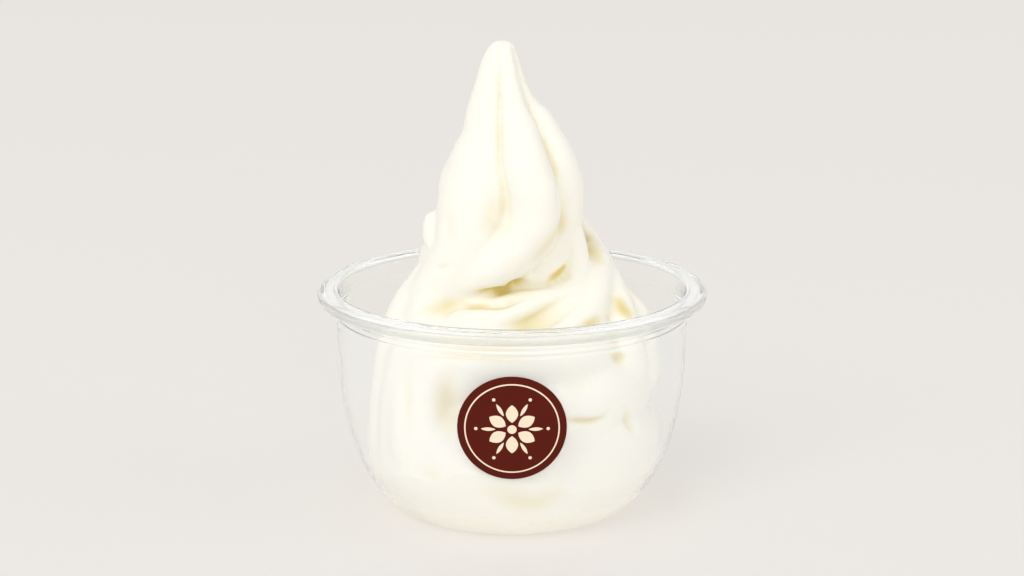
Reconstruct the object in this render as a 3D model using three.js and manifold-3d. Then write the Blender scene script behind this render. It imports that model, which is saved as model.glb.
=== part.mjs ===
// A swirl of vanilla soft serve in a clear dessert cup with a rolled rim and a round label.
// Millimetres, +Z up. The origin is the middle of the cup's underside. -Y is the front, where the label is.
import * as THREE from "three";
import Module from "manifold-3d";

// Cup: a round bowl on a flat foot, with a narrow collar, two stacking beads and a rolled rim.
const CUP_HEIGHT = 57.1;
const RIM_RADIUS = 49;
const RIM_DROP = 3.2;
const RIM_THICKNESS = 1;
const RIM_CORNER = 0.6;
const RIM_GROOVE = 0.5;
const RIM_CURL = 0.4;
const COLLAR_HEIGHT = 3;
const MOUTH_RADIUS = 44.3;
const FOOT_RADIUS = 27.3;
const WALL = 0.8;
const BEAD = 0.5;
const BEAD_HEIGHTS = [53, 49.8];
const CUP_SIDES = 56;
const BOWL_STEPS = 13;
const BOWL_POWER_OUT = 1.52;
const BOWL_POWER_UP = 2.91;

// Label: a round sticker on the front of the bowl.
const LABEL_RADIUS = 13.2;
const LABEL_HEIGHT = 32.3;
const LABEL_THICKNESS = 0.3;
const LABEL_RINGS = 4;
const LABEL_SIDES = 32;

// Free space left between two pieces that touch.
const GAP = 0.3;

// Soft serve: the total height, and the rope that the nozzle's six-pointed star squeezes out.
const SWIRL_TOP = 118.9;
const ROPE_STEP = 3.2;
const POINTS_PER_LOBE = 5;
const CREASE = 0.27;
const LOBE_ROUNDNESS = 2.2;
const BEND_MARGIN = 0.92;
const SMOOTH_SIDES = 16;
// Lobes round the rope, as [degrees wide, height], from the one that faces the front at the tip.
const LOBES = [
  [60, 1.05],
  [57, 1],
  [46, 1],
  [40, 1],
  [42, 1],
  [115, 1],
];

// Stations of the rope's centre line, from the tip down, as [x, y, z, radius, degrees of twist].
const PEAK = [
  [-2.2, 0, SWIRL_TOP, 1.6, 31],
  [-2.3, 0, SWIRL_TOP - 1.3, 3.2, 31],
  [-2.9, 0, 113.6, 5, 34],
  [-3, 0, 108, 6.8, 34],
  [-2.6, 0, 102, 9.5, 28],
  [-1.2, 0, 96, 13, 20],
  [-0.5, 0, 90, 16.2, 18],
  [-0.4, 0, 84, 18.3, 20],
  [-0.8, -0.5, 77, 18.6, 24],
];
const TAIL = [
  [-1.6, -1.5, 71.5, 18.2, 26],
  [-4.2, -3, 67, 16, 25],
  [-8.6, -4, 63.4, 13.4, 20],
  [-13.6, -2.4, 60.4, 11.6, 15],
  [-15.6, 4, 58.5, 11.6, 0],
  [-11, 11, 57.5, 12, -2],
];
const UPPER_TURN = [
  [-3.5, 14.5, 58, 12.6, 8],
  [3, 15, 58.5, 12, 15],
  [9, 12.5, 57.5, 11, 20],
  [13.5, 8, 55.5, 11, 22],
  [16.5, 3, 52.5, 11.6, 20],
  [18.5, -3, 49.5, 12.6, 14],
  [16.5, -10, 47.5, 13.4, 8],
  [9, -15.5, 46, 14, 5],
  [-1, -18, 44.5, 14.4, 5],
];
const FOLD = [
  [-10.5, -16.5, 42, 14.2, 10],
  [-17, -12, 37, 14.2, 18],
  [-19, -10, 28.5, 14.2, 25],
  [-15, -13.5, 19.5, 14.5, 28],
];
const BASE_TURN_RADIUS = 22;
const BASE_TURN_HEIGHT = 16.5;
const BASE_TURN_FROM = -100;
const BASE_TURN_TO = 205;
const BASE_TURN_STATIONS = 9;
const BASE_ROPE_RADIUS = 16;

// Smooth masses, as [x, y, z, radius]: the peak's left flank, and the turn pressed between the
// upper and the base turn of the rope.
const FLANK = [
  [-6.2, -1.2, 98, 4.6],
  [-6.8, -2.4, 94, 7.4],
  [-7.4, -3.2, 90, 9],
  [-8.2, -4, 84, 10],
  [-9, -4.8, 78, 10.2],
  [-10.4, -5.4, 72, 9.8],
  [-12, -5.8, 67, 9.2],
  [-14.5, -6, 61, 8.6],
  [-18, -6, 55, 8],
];
const MIDDLE_TURN = [
  [-8, -14, 29, 10],
  [2, -18, 29, 12.5],
  [13, -16, 30, 13],
  [21.5, -5, 31, 13],
  [21, 9, 33, 13],
  [9, 19, 34, 13],
  [-7, 19, 34, 13],
  [-18, 9, 32, 12.5],
  [-21, -4, 29, 11],
];
// Half outline, as [radius, z], of what settled at the bottom and fills the swirl's middle.
const HEART = [
  [0, 0.5],
  [27, 0.5],
  [36, 3.5],
  [42, 10.5],
  [37, 15],
  [32, 22],
  [27, 32],
  [22, 42],
  [14, 52],
  [6, 58],
  [0, 60],
];

const wasm = await Module();
wasm.setup();

const radians = THREE.MathUtils.degToRad;

// A closed solid from rings of points with as many points each, closed by a fan at both ends.
function loft(rings) {
  const sides = rings[0].length;
  const corners = rings.flat();
  const first = corners.length;
  const last = first + 1;
  corners.push(centre(rings[0]), centre(rings.at(-1)));
  const faces = [];
  for (let j = 0; j < sides; j++) {
    const k = (j + 1) % sides;
    for (let i = 0; i < rings.length - 1; i++) {
      const [a, b] = [i * sides + j, i * sides + k];
      const [c, d] = [a + sides, b + sides];
      faces.push(a, b, d, a, d, c);
    }
    const end = (rings.length - 1) * sides;
    faces.push(first, k, j, last, end + j, end + k);
  }
  return solid(corners, faces);
}

function centre(ring) {
  const sum = ring.reduce((total, p) => total.add(p), new THREE.Vector3());
  return sum.divideScalar(ring.length);
}

// A solid from corners and triangles, turned to face outwards.
function solid(corners, faces) {
  const vertProperties = new Float32Array(corners.flatMap((p) => p.toArray()));
  const build = (list) =>
    new wasm.Manifold(new wasm.Mesh({ numProp: 3, vertProperties, triVerts: new Uint32Array(list) }));
  const made = build(faces);
  return made.volume() > 0 ? made : build(faces.toReversed());
}

// A closed solid of revolution about Z from a half outline that runs upwards and ends on the axis.
function turned(outline, sides = CUP_SIDES) {
  const rings = outline.slice(1, -1).map(([radius, z]) => circle(radius, z, sides));
  const made = rings.flat();
  const bottom = made.length;
  made.push(new THREE.Vector3(0, 0, outline[0][1]), new THREE.Vector3(0, 0, outline.at(-1)[1]));
  const faces = [];
  for (let j = 0; j < sides; j++) {
    const k = (j + 1) % sides;
    faces.push(bottom, k, j);
    for (let i = 0; i < rings.length - 1; i++) {
      const [a, b] = [i * sides + j, i * sides + k];
      faces.push(a, b, b + sides, a, b + sides, a + sides);
    }
    const end = (rings.length - 1) * sides;
    faces.push(bottom + 1, end + j, end + k);
  }
  return solid(made, faces);
}

function circle(radius, z, sides) {
  return Array.from({ length: sides }, (_, j) => {
    const angle = (2 * Math.PI * j) / sides;
    return new THREE.Vector3(radius * Math.cos(angle), radius * Math.sin(angle), z);
  });
}

function mesh(name, body, material) {
  const { vertProperties, triVerts } = body.getMesh();
  const geometry = new THREE.BufferGeometry();
  geometry.setAttribute("position", new THREE.BufferAttribute(vertProperties, 3));
  geometry.setIndex(new THREE.BufferAttribute(triVerts, 1));
  geometry.computeVertexNormals();
  const made = new THREE.Mesh(geometry, material);
  made.name = name;
  return made;
}

// ---- Cup ----

// The outside of the bowl as [radius, z]: t is 0 at the foot and 1 below the collar.
function bowlPoint(t) {
  const angle = (Math.PI / 2) * (1 - t);
  const out = Math.cos(angle) ** (2 / BOWL_POWER_OUT);
  const down = Math.sin(angle) ** (2 / BOWL_POWER_UP);
  return [
    FOOT_RADIUS + (MOUTH_RADIUS - FOOT_RADIUS) * out,
    (CUP_HEIGHT - COLLAR_HEIGHT) * (1 - down),
  ];
}

// The bowl's outline moved inwards by a distance, from the foot to below the collar.
function bowlOutline(inwards) {
  const small = 1e-3;
  return Array.from({ length: BOWL_STEPS + 1 }, (_, i) => {
    const t = THREE.MathUtils.clamp(i / BOWL_STEPS, small, 1 - small);
    const [r, z] = bowlPoint(t);
    const [r0, z0] = bowlPoint(t - small);
    const [r1, z1] = bowlPoint(t + small);
    const length = Math.hypot(r1 - r0, z1 - z0);
    return [r - (inwards * (z1 - z0)) / length, z + (inwards * (r1 - r0)) / length];
  });
}

// The inside of the cup, from the middle of its floor to below the collar, moved in by a gap.
function insideOutline(gap) {
  const floor = WALL + gap;
  return [[0, floor], ...bowlOutline(floor)];
}

function makeCup() {
  const inner = MOUTH_RADIUS - WALL;
  const top = CUP_HEIGHT;
  const under = top - RIM_THICKNESS;
  const lip = top - RIM_DROP;
  const rolled = RIM_RADIUS - RIM_THICKNESS;
  const grooved = RIM_RADIUS - RIM_GROOVE;
  const rim = [
    [MOUTH_RADIUS, under - RIM_CORNER],
    [MOUTH_RADIUS + RIM_CORNER, under],
    [rolled - RIM_CORNER, under],
    [rolled, under - RIM_CORNER],
    [rolled, lip + RIM_CORNER],
    [rolled - RIM_CURL, lip + RIM_CURL / 2],
    [rolled + RIM_CURL, lip],
    [RIM_RADIUS, lip + RIM_CORNER],
    [RIM_RADIUS, lip + 2 * RIM_CORNER],
    [grooved, lip + 3 * RIM_CORNER],
    [grooved, top - RIM_CORNER],
    [grooved - RIM_CORNER, top],
    [MOUTH_RADIUS + RIM_CORNER, top],
    [MOUTH_RADIUS, top - RIM_CORNER],
    [inner, top - COLLAR_HEIGHT],
  ];
  const beads = BEAD_HEIGHTS.flatMap((height) => [
    [inner, height + BEAD],
    [inner - BEAD, height + BEAD / 2],
    [inner - BEAD, height - BEAD / 2],
    [inner, height - BEAD],
  ]);
  const inside = insideOutline(0).filter(([, z]) => z < beads.at(-1)[1] - BEAD);
  return turned([[0, 0], ...bowlOutline(0), ...rim, ...beads, ...inside.reverse()]);
}

// ---- Label ----

// A point on the bowl's front: across runs along the wall to the right, up runs up it.
function onFront(across, up, outwards) {
  const height = LABEL_HEIGHT + up;
  let [low, high] = [0, 1];
  for (let i = 0; i < 30; i++) {
    const half = (low + high) / 2;
    if (bowlPoint(half)[1] < height) low = half;
    else high = half;
  }
  const radius = bowlPoint(low)[0];
  const angle = across / radius - Math.PI / 2;
  return new THREE.Vector3(
    (radius + outwards) * Math.cos(angle),
    (radius + outwards) * Math.sin(angle),
    height,
  );
}

function makeLabel() {
  const ring = (radius, outwards) =>
    Array.from({ length: LABEL_SIDES }, (_, j) => {
      const angle = (2 * Math.PI * j) / LABEL_SIDES;
      return onFront(radius * Math.cos(angle), radius * Math.sin(angle), outwards);
    });
  const radii = Array.from({ length: LABEL_RINGS }, (_, i) => (LABEL_RADIUS * (i + 1)) / LABEL_RINGS);
  const back = radii.map((radius) => ring(radius, GAP));
  const face = radii.map((radius) => ring(radius, GAP + LABEL_THICKNESS)).reverse();
  return loft([...back, ...face]);
}

// ---- Soft serve ----

// A value between evenly spaced ones, on a Catmull-Rom curve, mirrored past both ends.
function between(values, at) {
  const i = Math.min(Math.floor(at), values.length - 2);
  const t = at - i;
  const [b, c] = [values[i], values[i + 1]];
  const a = values[i - 1] ?? 2 * b - c;
  const d = values[i + 2] ?? 2 * c - b;
  return (
    b + 0.5 * t * (c - a + t * (2 * a - 5 * b + 4 * c - d + t * (3 * (b - c) + d - a)))
  );
}

// Even steps along the curve through the stations, each a list of numbers like a station.
function evenSteps(stations, step) {
  const columns = stations[0].map((_, column) => stations.map((row) => row[column]));
  const perSpan = 16;
  const fine = Array.from({ length: (stations.length - 1) * perSpan + 1 }, (_, i) =>
    columns.map((values) => between(values, i / perSpan)),
  );
  const lengths = [0];
  for (let i = 1; i < fine.length; i++) {
    const [p, q] = [fine[i - 1], fine[i]];
    lengths.push(lengths[i - 1] + Math.hypot(q[0] - p[0], q[1] - p[1], q[2] - p[2]));
  }
  const count = Math.round(lengths.at(-1) / step);
  let i = 0;
  return Array.from({ length: count + 1 }, (_, n) => {
    const wanted = (lengths.at(-1) * n) / count;
    while (i < fine.length - 2 && lengths[i + 1] < wanted) i++;
    const share = Math.min(1, (wanted - lengths[i]) / (lengths[i + 1] - lengths[i]));
    return fine[i].map((value, column) => value + share * (fine[i + 1][column] - value));
  });
}

// The rope's section as [angle, share of the radius] for each point, creases included.
function starSection() {
  const total = LOBES.reduce((sum, [width]) => sum + width, 0);
  const points = [];
  let from = -LOBES[0][0] / 2;
  for (const [width, height] of LOBES) {
    for (let k = 0; k < POINTS_PER_LOBE; k++) {
      const across = k / POINTS_PER_LOBE;
      const bulge = 1 - Math.abs(2 * across - 1) ** LOBE_ROUNDNESS;
      const angle = (2 * Math.PI * (from + across * width)) / total;
      points.push([angle, 1 - CREASE + (height - 1 + CREASE) * bulge]);
    }
    from += width;
  }
  return points;
}

function roundSection() {
  return Array.from({ length: SMOOTH_SIDES }, (_, j) => [(2 * Math.PI * j) / SMOOTH_SIDES, 1]);
}

// Rings of a section swept along stations. Where the rope bends tightly, a ring is pressed flat
// on the inner side of the bend, so that no ring crosses the next.
function sweptRings(stations, section, start) {
  const steps = evenSteps(stations, ROPE_STEP);
  const points = steps.map(([x, y, z]) => new THREE.Vector3(x, y, z));
  const count = points.length;
  const ahead = points.map((_, i) =>
    points[Math.min(i + 1, count - 1)].clone().sub(points[Math.max(i - 1, 0)]).normalize(),
  );
  const side = start.clone();
  return points.map((point, i) => {
    side.addScaledVector(ahead[i], -side.dot(ahead[i])).normalize();
    const other = side.clone().cross(ahead[i]);
    const [from, to] = [Math.max(i - 1, 0), Math.min(i + 1, count - 1)];
    const bend = ahead[to].clone().sub(ahead[from]).divideScalar((to - from) * ROPE_STEP);
    const [, , , radius, twist = 0] = steps[i];
    return section.map(([angle, share]) => {
      const turn = angle + radians(twist);
      const out = side.clone().multiplyScalar(Math.cos(turn)).addScaledVector(other, Math.sin(turn));
      const inwards = Math.max(out.dot(bend), 1e-6);
      const reach = Math.min(share * radius, BEND_MARGIN / inwards);
      return out.multiplyScalar(reach).add(point);
    });
  });
}

// Lofts of a rope's rings in lengths short enough not to meet themselves, with a shared overlap.
function ropePieces(rings, length = 9, overlap = 2) {
  const pieces = [];
  for (let from = 0; from < rings.length - 1; from += length) {
    pieces.push(loft(rings.slice(from, from + length + overlap + 1)));
  }
  return pieces;
}

function baseTurn() {
  return Array.from({ length: BASE_TURN_STATIONS }, (_, i) => {
    const share = i / (BASE_TURN_STATIONS - 1);
    const angle = radians(BASE_TURN_FROM + share * (BASE_TURN_TO - BASE_TURN_FROM));
    const [x, y] = [BASE_TURN_RADIUS * Math.cos(angle), BASE_TURN_RADIUS * Math.sin(angle)];
    return [x, y, BASE_TURN_HEIGHT, BASE_ROPE_RADIUS, 25];
  });
}

function makeSoftServe() {
  const front = new THREE.Vector3(0, -1, 0);
  const up = new THREE.Vector3(0, 0, 1);
  const rope = [...PEAK, ...TAIL, ...UPPER_TURN, ...FOLD, ...baseTurn()];
  const pieces = [
    ...ropePieces(sweptRings(rope, starSection(), front)),
    loft(sweptRings(FLANK, roundSection(), front)),
    ...ropePieces(sweptRings(MIDDLE_TURN, roundSection(), up)),
    turned(HEART, 2 * SMOOTH_SIDES),
  ];
  const whole = pieces.reduce((sum, piece) => sum.add(piece));
  const headroom = [
    [MOUTH_RADIUS + RIM_RADIUS, CUP_HEIGHT + 1],
    [MOUTH_RADIUS + RIM_RADIUS, SWIRL_TOP + 1],
    [0, SWIRL_TOP + 1],
  ];
  const fitted = whole.intersect(turned([...insideOutline(GAP), ...headroom]));
  // Scraps and the hollows that joining sealed are bodies of their own: only the largest stays.
  return fitted.decompose().reduce((best, body) => (body.volume() > best.volume() ? body : best));
}

const clear = new THREE.MeshStandardMaterial({
  color: 0xf3f5f4,
  roughness: 0.08,
  transparent: true,
  opacity: 0.35,
});
const cream = new THREE.MeshStandardMaterial({ color: 0xfcf7e2, roughness: 0.45 });
const maroon = new THREE.MeshStandardMaterial({ color: 0x5c1c14, roughness: 0.5 });

const softServeCup = new THREE.Group();
softServeCup.add(mesh("cup", makeCup(), clear));
softServeCup.add(mesh("soft_serve", makeSoftServe(), cream));
softServeCup.add(mesh("label", makeLabel(), maroon));

export default softServeCup;
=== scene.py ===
"""A cup of soft serve: a clear rolled-rim cup, the piped swirl in it and the round label on its front."""

import math

import bpy
import numpy as np
from bpy.props import FloatProperty, FloatVectorProperty, IntProperty, PointerProperty
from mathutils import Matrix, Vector
from mathutils.bvhtree import BVHTree


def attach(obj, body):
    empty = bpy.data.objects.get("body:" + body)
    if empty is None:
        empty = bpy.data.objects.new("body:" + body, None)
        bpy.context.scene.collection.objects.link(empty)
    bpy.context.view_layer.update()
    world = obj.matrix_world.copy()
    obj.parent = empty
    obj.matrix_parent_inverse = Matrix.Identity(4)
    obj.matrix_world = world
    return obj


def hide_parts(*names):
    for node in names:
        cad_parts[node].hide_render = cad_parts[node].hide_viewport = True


bl_info = {
    "name": "Soft Serve Cup",
    "version": (1, 0, 0),
    "blender": (4, 5, 0),
    "location": "View3D > Sidebar > Soft Serve",
    "description": "Builds a swirl of soft serve in a clear cup with a round label",
    "category": "Object",
}

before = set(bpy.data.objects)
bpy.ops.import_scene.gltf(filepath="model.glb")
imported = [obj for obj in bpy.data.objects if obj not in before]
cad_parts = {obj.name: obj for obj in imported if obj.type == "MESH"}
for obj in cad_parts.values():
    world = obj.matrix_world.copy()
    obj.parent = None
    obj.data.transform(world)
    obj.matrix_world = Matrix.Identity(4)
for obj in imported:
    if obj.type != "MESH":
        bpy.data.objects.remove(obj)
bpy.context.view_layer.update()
MM = 0.001
# Corners nearer than this are one, and edges flatter than this are smooth.
MERGE = 1e-6
FLAT_EDGE = math.radians(40)


# ---- Sizes and colours that a user would change ----


def length(name, text, default, lowest=0.0):
    return FloatProperty(
        name=name, description=text, default=default * MM, min=lowest * MM, unit="LENGTH", precision=5
    )


def fraction(name, text, default):
    return FloatProperty(name=name, description=text, default=default, min=0, max=1, subtype="FACTOR")


def strength(name, text, default):
    return FloatProperty(name=name, description=text, default=default, min=0)


def power(name, text, default):
    return FloatProperty(name=name, description=text, default=default, min=0, unit="POWER")


def colour(name, text, default):
    return FloatVectorProperty(
        name=name, description=text, default=default, min=0, max=1, size=3, subtype="COLOR"
    )


class CupSizes(bpy.types.PropertyGroup):
    rim_radius: length("Rim radius", "Outside radius of the rolled rim", 49)
    rim_drop: length("Rim drop", "Height of the rolled rim from its top to its lip", 3.2)
    mouth_radius: length("Mouth radius", "Outside radius of the wall under the rim", 44.3)
    foot_radius: length("Foot radius", "Radius of the flat foot", 27.3)
    height: length("Height", "Height of the cup", 57.1)
    wall: length("Wall", "Thickness of the plastic", 0.8, 0.2)
    bead: length("Bead", "How far a stacking bead stands in from the wall", 0.22)
    sides: IntProperty(name="Sides", description="Steps round the cup", default=192, min=24)
    plastic: colour("Plastic", "Tint of the clear plastic", (0.985, 0.99, 0.985))
    # Painted shade: the lip's darker tint stands in for the dark line under the rim.
    painted_lip_shade: colour("Lip tint", "Tint of the plastic where it curls up in the lip", (0.82, 0.83, 0.8))
    clearness: fraction("Clearness", "Share of the light that the plastic lets through", 0.85)
    haze: fraction("Haze", "Roughness of the plastic", 0.035)


class SwirlSizes(bpy.types.PropertyGroup):
    detail: length("Detail", "Edge length of the finished mesh", 0.57, 0.2)
    crease: fraction("Crease depth", "Depth of the rope's creases as a share of its radius", 0.27)
    roundness: FloatProperty(
        name="Lobe roundness", description="Power of a lobe's cross section", default=2.2, min=1, max=6
    )
    # Reach of the rays that find where shade is painted into the cream's colour.
    hollow_reach: length("Hollow reach", "Width of the gaps that look deep", 9)
    overlap: length("Overlap", "How far the cream reaches into the cup's wall", 0.2)
    cream: colour("Cream", "Colour of the soft serve", (0.972, 0.948, 0.862))
    # Painted shade: the colour the cream takes in its creases and gaps, where shade falls.
    shade: colour("Shade", "Colour of the cream deep in its creases", (0.76, 0.62, 0.2))
    glow: length("Glow", "How far light spreads inside the cream", 1.6)


class LabelSizes(bpy.types.PropertyGroup):
    radius: length("Radius", "Radius of the sticker", 13.2)
    height: length("Height", "Height of its middle above the table", 32.3)
    thickness: length("Thickness", "Thickness of the sticker", 0.3, 0.05)
    gap: length("Gap", "Free space between the sticker and the wall", 0.03)
    field: colour("Field", "Colour of the sticker", (0.098, 0.0095, 0.0045))
    print_colour: colour("Print", "Colour of the printed motif", (0.98, 0.79, 0.6))


class StageSizes(bpy.types.PropertyGroup):
    floor: colour("Floor", "Colour of the floor", (0.87, 0.838, 0.8))
    floor_glow: fraction("Floor glow", "Share of the floor's brightness that a light table gives", 0.505)
    ambient: strength("Ambient", "Strength of the light all round", 0.68)
    mirrored: strength("Mirrored", "Brightness of the room in reflections", 1.05)
    key: power("Key", "Power of the soft light at the upper left", 62.5)
    front: power("Front", "Power of the soft light in front", 20)
    side: power("Side", "Power of the soft light at the right", 12)


# ---- Small tools ----


def deselect_all():
    if bpy.context.object and bpy.context.object.mode != "OBJECT":
        bpy.ops.object.mode_set(mode="OBJECT")
    bpy.ops.object.select_all(action="DESELECT")


def make_active(piece):
    deselect_all()
    piece.select_set(True)
    bpy.context.view_layer.objects.active = piece
    return piece


def mesh_piece(name, corners, edges, faces):
    mesh = bpy.data.meshes.new(name)
    mesh.from_pydata([tuple(c) for c in corners], edges, faces)
    mesh.update()
    piece = bpy.data.objects.new(name, mesh)
    bpy.context.scene.collection.objects.link(piece)
    return make_active(piece)


def apply_modifier(piece, kind, **values):
    make_active(piece)
    modifier = piece.modifiers.new(kind.title(), kind)
    for key, value in values.items():
        setattr(modifier, key, value)
    bpy.ops.object.modifier_apply(modifier=modifier.name)


def join_pieces(name, parts):
    deselect_all()
    for part in parts:
        part.select_set(True)
    bpy.context.view_layer.objects.active = parts[0]
    bpy.ops.object.join()
    parts[0].name = name
    return parts[0]


def corners_of(piece):
    points = np.empty(len(piece.data.vertices) * 3, np.float32)
    piece.data.vertices.foreach_get("co", points)
    return points.reshape(-1, 3).astype(float)


def set_corners(piece, points):
    piece.data.vertices.foreach_set("co", np.asarray(points, np.float32).ravel())
    piece.data.update()


def finish_piece(piece, material, slot, *nodes):
    piece.data.materials.clear()
    piece.data.materials.append(material)
    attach(piece, "root")
    if nodes:
        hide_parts(*nodes)


# ---- Materials ----

# Sockets of a Mix node that is set to colours.
MIX_FIRST, MIX_SECOND, MIX_RESULT = 6, 7, 2
PLASTIC_IOR = 1.3
CREAM_IOR = 1.35
# Tint of the lamps' light and of the light between surfaces, which pass straight through.
OPEN_TINT = (0.99, 0.992, 0.99, 1)
# Roughness of the plastic as shares of its haze, and the slow waves of the thin sheet.
HAZE_SPREAD = (0.6, 1.4)
PLASTIC_SURFACE = {
    "Cloud Scale": 90.0,
    "Cloud Detail": 3.0,
    "Bump Scale": 55.0,
    "Bump Detail": 2.0,
    "Bump Strength": 0.012,
    "Bump Depth": 0.001,
}
# How far outside the wall, and how far above the lip, the painted shade of the curled lip ends.
LIP_SHADE_OUT = 1.5 * MM
LIP_SHADE_UP = 1.9 * MM
# Sheen and ice grain of the cream's skin.
CREAM_SURFACE = {
    "Cloud Scale": 400.0,
    "Cloud Detail": 2.0,
    "Smoothest": 0.42,
    "Roughest": 0.62,
    "Bump Scale": 280.0,
    "Bump Detail": 5.0,
    "Bump Strength": 0.12,
    "Bump Depth": 0.0003,
}
# The cream's paler and warmer tone, as shares of its colour, and the blotches that they make.
PALER = 1.01
WARMER = (0.995, 0.985, 0.955)
BLOTCHES = {"Scale": 60.0, "Detail": 3.0}
# Where the painted shade of the hollows starts and where it is full.
SHADE_RANGE = (0.06, 0.8)
# How much of the light goes into the cream, and how far each colour goes, against each other.
SCATTERING = 0.35
SCATTERING_BY_COLOUR = (1.0, 0.8, 0.5)
# The sticker's fibres, how much they change its colour, and its satin finish.
FIBRES = {"Scale": 900.0, "Detail": 2.0}
FIBRE_SPREAD = 0.06
FIELD_ROUGHNESS = 0.55
PRINT_ROUGHNESS = 0.6
PRINT_SPECULAR = 0.08


class Nodes:
    """Short calls for the node tree of a material or a group."""

    def __init__(self, tree):
        self.tree = tree

    def add(self, kind, inputs=None, **values):
        node = self.tree.nodes.new(kind)
        for key, value in values.items():
            setattr(node, key, value)
        for key, value in (inputs or {}).items():
            self.feed(node.inputs[key], value)
        return node

    def feed(self, socket, value):
        if isinstance(value, bpy.types.NodeSocket):
            self.tree.links.new(value, socket)
        elif isinstance(value, bpy.types.Node):
            self.tree.links.new(value.outputs[0], socket)
        else:
            socket.default_value = value

    def noise(self, place, scale, detail):
        inputs = {"Vector": place, "Scale": scale, "Detail": detail}
        return self.add("ShaderNodeTexNoise", inputs).outputs["Fac"]

    def mixed(self, factor, first, second):
        inputs = {"Factor": factor, MIX_FIRST: first, MIX_SECOND: second}
        return self.add("ShaderNodeMix", inputs, data_type="RGBA").outputs[MIX_RESULT]

    def group(self, build, inputs):
        """Places a node group, which is built the first time it is asked for."""
        tree = bpy.data.node_groups.get(build.__name__) or build()
        return self.add("ShaderNodeGroup", inputs, node_tree=tree).outputs


def new_material(name):
    material = bpy.data.materials.new(name)
    material.use_nodes = True
    material.node_tree.nodes.clear()
    nodes = Nodes(material.node_tree)
    surface = nodes.add("ShaderNodeBsdfPrincipled")
    output = nodes.add("ShaderNodeOutputMaterial", {"Surface": surface.outputs["BSDF"]})
    return material, nodes, surface, output


def new_group(name, inputs, outputs):
    """An empty node group with named sockets, and what it is given and puts out."""
    tree = bpy.data.node_groups.new(name, "ShaderNodeTree")
    for direction, sockets in (("INPUT", inputs), ("OUTPUT", outputs)):
        for label, kind in sockets.items():
            tree.interface.new_socket(label, in_out=direction, socket_type="NodeSocket" + kind)
    nodes = Nodes(tree)
    given = nodes.add("NodeGroupInput").outputs
    result = nodes.add("NodeGroupOutput").inputs
    return tree, nodes, given, result


def uneven_colour():
    """Node group: a colour that wanders between two tones."""
    inputs = {"Place": "Vector", "Scale": "Float", "Detail": "Float", "First": "Color", "Second": "Color"}
    tree, nodes, given, result = new_group("uneven_colour", inputs, {"Colour": "Color"})
    cloud = nodes.noise(given["Place"], given["Scale"], given["Detail"])
    nodes.feed(result["Colour"], nodes.mixed(cloud, given["First"], given["Second"]))
    return tree


def uneven_surface():
    """Node group: roughness that changes in clouds, and fine bumps."""
    numbers = ["Cloud Scale", "Cloud Detail", "Smoothest", "Roughest"]
    numbers += ["Bump Scale", "Bump Detail", "Bump Strength", "Bump Depth"]
    inputs = {"Place": "Vector", **{label: "Float" for label in numbers}}
    outputs = {"Roughness": "Float", "Normal": "Vector"}
    tree, nodes, given, result = new_group("uneven_surface", inputs, outputs)
    cloud = nodes.noise(given["Place"], given["Cloud Scale"], given["Cloud Detail"])
    rough = nodes.add(
        "ShaderNodeMapRange",
        {"Value": cloud, "To Min": given["Smoothest"], "To Max": given["Roughest"]},
    )
    grain = nodes.noise(given["Place"], given["Bump Scale"], given["Bump Detail"])
    bump = nodes.add(
        "ShaderNodeBump",
        {"Height": grain, "Strength": given["Bump Strength"], "Distance": given["Bump Depth"]},
    )
    nodes.feed(result["Roughness"], rough.outputs["Result"])
    nodes.feed(result["Normal"], bump.outputs["Normal"])
    return tree


def object_place(nodes):
    return nodes.add("ShaderNodeTexCoord").outputs["Object"]


def dress_surface(nodes, surface, place, values):
    """Gives a shader its uneven roughness and its bumps."""
    uneven = nodes.group(uneven_surface, {"Place": place, **values})
    for key in ("Roughness", "Normal"):
        nodes.feed(surface.inputs[key], uneven[key])


def clear_plastic(sizes):
    """Clear, glossy, slightly hazy thermoformed plastic. Lamps shine through it onto the cream."""
    material, nodes, surface, output = new_material("clear_plastic")
    surface.inputs["Metallic"].default_value = 0
    surface.inputs["Transmission Weight"].default_value = sizes.clearness
    surface.inputs["IOR"].default_value = PLASTIC_IOR
    place = object_place(nodes)
    nodes.feed(surface.inputs["Base Color"], painted_lip_shade(nodes, place, sizes))
    smoothest, roughest = (sizes.haze * part for part in HAZE_SPREAD)
    haze = {"Smoothest": smoothest, "Roughest": roughest}
    dress_surface(nodes, surface, place, {**PLASTIC_SURFACE, **haze})
    path = nodes.add("ShaderNodeLightPath")
    open_shader = nodes.add("ShaderNodeBsdfTransparent", {"Color": OPEN_TINT})
    passing = nodes.add(
        "ShaderNodeMath",
        {0: path.outputs["Is Shadow Ray"], 1: path.outputs["Is Diffuse Ray"]},
        operation="MAXIMUM",
    )
    mixed = nodes.add(
        "ShaderNodeMixShader", {0: passing, 1: surface.outputs["BSDF"], 2: open_shader.outputs["BSDF"]}
    )
    nodes.feed(output.inputs["Surface"], mixed.outputs["Shader"])
    return material


def painted_lip_shade(nodes, place, sizes):
    """The plastic's tint, with painted shade in the curled lip: a darker tint there gives the dark line
    under the rim.
    """
    flat = nodes.add("ShaderNodeVectorMath", {0: place, 1: (1.0, 1.0, 0.0)}, operation="MULTIPLY")
    radius = nodes.add("ShaderNodeVectorMath", {0: flat}, operation="LENGTH").outputs["Value"]
    height = nodes.add("ShaderNodeSeparateXYZ", {0: place}).outputs["Z"]
    skirt = sizes.mouth_radius + LIP_SHADE_OUT
    lip = sizes.height - sizes.rim_drop
    outside = nodes.add(
        "ShaderNodeMapRange", {"Value": radius, "From Min": skirt, "From Max": skirt + MM}
    )
    below = nodes.add(
        "ShaderNodeMapRange", {"Value": height, "From Min": lip + LIP_SHADE_UP, "From Max": lip + MM}
    )
    both = nodes.add("ShaderNodeMath", {0: outside, 1: below}, operation="MULTIPLY")
    return nodes.mixed(both, (*sizes.plastic, 1), (*sizes.painted_lip_shade, 1))


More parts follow.
